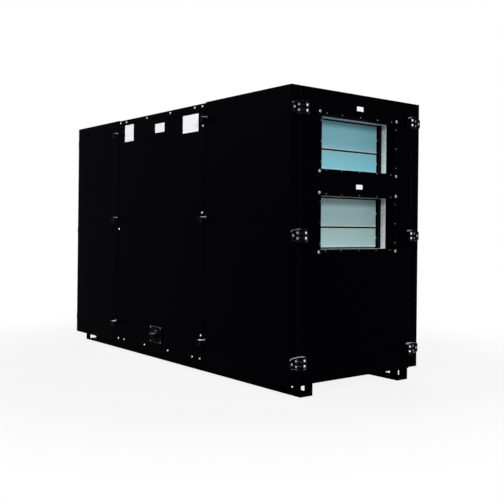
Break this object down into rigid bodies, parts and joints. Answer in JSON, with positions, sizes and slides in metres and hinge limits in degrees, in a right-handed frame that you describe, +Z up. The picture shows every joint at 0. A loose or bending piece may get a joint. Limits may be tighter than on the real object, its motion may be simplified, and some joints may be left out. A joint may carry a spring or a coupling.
{
  "type": "air handling unit",
  "caption": "Black floor-standing air handling unit casing on lifting rails, with hinged service doors, turn latches, a screwed middle panel and rectangular duct openings with dampers.",
  "frame": {"origin": "on the floor, under the middle of the casing", "axes": "+X along the casing to the end with the wider doors, -Y to the front, +Z up"},
  "size_m": [2.184, 0.938, 1.395],
  "materials": {
    "black_powder_coat": "satin",
    "galvanised_steel": "satin",
    "upper_blade_aluminium": "satin",
    "lower_blade_aluminium": "satin",
    "black_plastic": "satin",
    "zinc_screws": "bright",
    "white_label": "gloss",
    "black_rubber": "matte"
  },
  "bodies": {
    "casing": {"front_rail": "black_powder_coat", "rear_rail": "black_powder_coat", "roof_panel": "black_powder_coat", "right_end_panel": "black_powder_coat", "left_end_panel": "black_powder_coat", "front_middle_panel": "black_powder_coat", "rear_middle_panel": "black_powder_coat", "right_upper_flange": "black_powder_coat", "right_lower_flange": "black_powder_coat", "left_upper_flange": "black_powder_coat", "left_lower_flange": "black_powder_coat", "floor_panel": "galvanised_steel", "front_posts": "galvanised_steel", "rear_posts": "galvanised_steel", "right_upper_damper": "galvanised_steel", "right_lower_damper": "galvanised_steel", "left_upper_damper": "galvanised_steel", "left_lower_damper": "galvanised_steel", "left_upper_blades": "upper_blade_aluminium", "left_lower_blades": "lower_blade_aluminium", "right_end_leaves": "black_plastic", "left_end_leaves": "black_plastic", "right_upper_gear_bars": "black_plastic", "right_lower_gear_bars": "black_plastic", "left_upper_gear_bars": "black_plastic", "left_lower_gear_bars": "black_plastic", "isolator_plate": "black_plastic"},
    "front_right_door": {"front_right_door": "black_powder_coat", "front_right_door_leaves": "black_plastic"},
    "front_left_door": {"front_left_door": "black_powder_coat", "front_left_door_leaves": "black_plastic"},
    "rear_right_door": {"rear_right_door": "black_powder_coat", "rear_right_door_leaves": "black_plastic", "rear_right_latches": "black_plastic"},
    "rear_left_door": {"rear_left_door": "black_powder_coat", "rear_left_door_leaves": "black_plastic", "rear_left_latches": "black_plastic"},
    "isolator_knob": {"isolator_knob": "black_plastic"},
    "front_right_latch_low": {"front_right_latch_low": "black_plastic"},
    "front_right_latch_mid": {"front_right_latch_mid": "black_plastic"},
    "front_right_latch_top": {"front_right_latch_top": "black_plastic"},
    "front_left_latch_low": {"front_left_latch_low": "black_plastic"},
    "front_left_latch_mid": {"front_left_latch_mid": "black_plastic"},
    "front_left_latch_top": {"front_left_latch_top": "black_plastic"},
    "right_upper_blade_high": {"right_upper_blade_high": "upper_blade_aluminium"},
    "right_upper_blade_low": {"right_upper_blade_low": "upper_blade_aluminium"},
    "right_lower_blade_high": {"right_lower_blade_high": "lower_blade_aluminium"},
    "right_lower_blade_low": {"right_lower_blade_low": "lower_blade_aluminium"}
  },
  "joints": [
    {"name": "front_right_door_hinge", "type": "hinge", "parent": "casing", "child": "front_right_door", "pos_m": [1.083, -0.3755, 0.725], "axis": [0, 0, 1], "range_deg": [0, 120]},
    {"name": "front_left_door_hinge", "type": "hinge", "parent": "casing", "child": "front_left_door", "pos_m": [-1.083, -0.3755, 0.725], "axis": [0, 0, -1], "range_deg": [0, 120]},
    {"name": "rear_right_door_hinge", "type": "hinge", "parent": "casing", "child": "rear_right_door", "pos_m": [1.083, 0.3755, 0.725], "axis": [0, 0, -1], "range_deg": [0, 120]},
    {"name": "rear_left_door_hinge", "type": "hinge", "parent": "casing", "child": "rear_left_door", "pos_m": [-1.083, 0.3755, 0.725], "axis": [0, 0, 1], "range_deg": [0, 120]},
    {"name": "front_right_latch_low_turn", "type": "hinge", "parent": "front_right_door", "child": "front_right_latch_low", "pos_m": [0.417, -0.435, 0.177], "axis": [0, -1, 0], "range_deg": [0, 90]},
    {"name": "front_right_latch_mid_turn", "type": "hinge", "parent": "front_right_door", "child": "front_right_latch_mid", "pos_m": [0.417, -0.435, 0.802], "axis": [0, -1, 0], "range_deg": [0, 90]},
    {"name": "front_right_latch_top_turn", "type": "hinge", "parent": "front_right_door", "child": "front_right_latch_top", "pos_m": [0.417, -0.435, 1.31], "axis": [0, -1, 0], "range_deg": [0, 90]},
    {"name": "front_left_latch_low_turn", "type": "hinge", "parent": "front_left_door", "child": "front_left_latch_low", "pos_m": [-0.526, -0.435, 0.177], "axis": [0, 1, 0], "range_deg": [0, 90]},
    {"name": "front_left_latch_mid_turn", "type": "hinge", "parent": "front_left_door", "child": "front_left_latch_mid", "pos_m": [-0.526, -0.435, 0.802], "axis": [0, 1, 0], "range_deg": [0, 90]},
    {"name": "front_left_latch_top_turn", "type": "hinge", "parent": "front_left_door", "child": "front_left_latch_top", "pos_m": [-0.526, -0.435, 1.31], "axis": [0, 1, 0], "range_deg": [0, 90]},
    {"name": "isolator_turn", "type": "hinge", "parent": "casing", "child": "isolator_knob", "pos_m": [-0.0545, -0.435, 0.154], "axis": [0, 1, 0], "range_deg": [0, 90]},
    {"name": "right_upper_blade_high_turn", "type": "hinge", "parent": "casing", "child": "right_upper_blade_high", "pos_m": [0.962, 0, 1.206], "axis": [0, 1, 0], "range_deg": [0, 90]},
    {"name": "right_upper_blade_low_turn", "type": "hinge", "parent": "casing", "child": "right_upper_blade_low", "pos_m": [0.962, 0, 1.085], "axis": [0, 1, 0], "range_deg": [0, 90]},
    {"name": "right_lower_blade_high_turn", "type": "hinge", "parent": "casing", "child": "right_lower_blade_high", "pos_m": [0.962, 0, 0.835], "axis": [0, 1, 0], "range_deg": [0, 90]},
    {"name": "right_lower_blade_low_turn", "type": "hinge", "parent": "casing", "child": "right_lower_blade_low", "pos_m": [0.962, 0, 0.714], "axis": [0, 1, 0], "range_deg": [0, 90]}
  ],
  "couplings": [
    {"joint": "right_upper_blade_low_turn", "follows": "right_upper_blade_high_turn", "ratio": 1},
    {"joint": "right_lower_blade_low_turn", "follows": "right_lower_blade_high_turn", "ratio": 1}
  ]
}
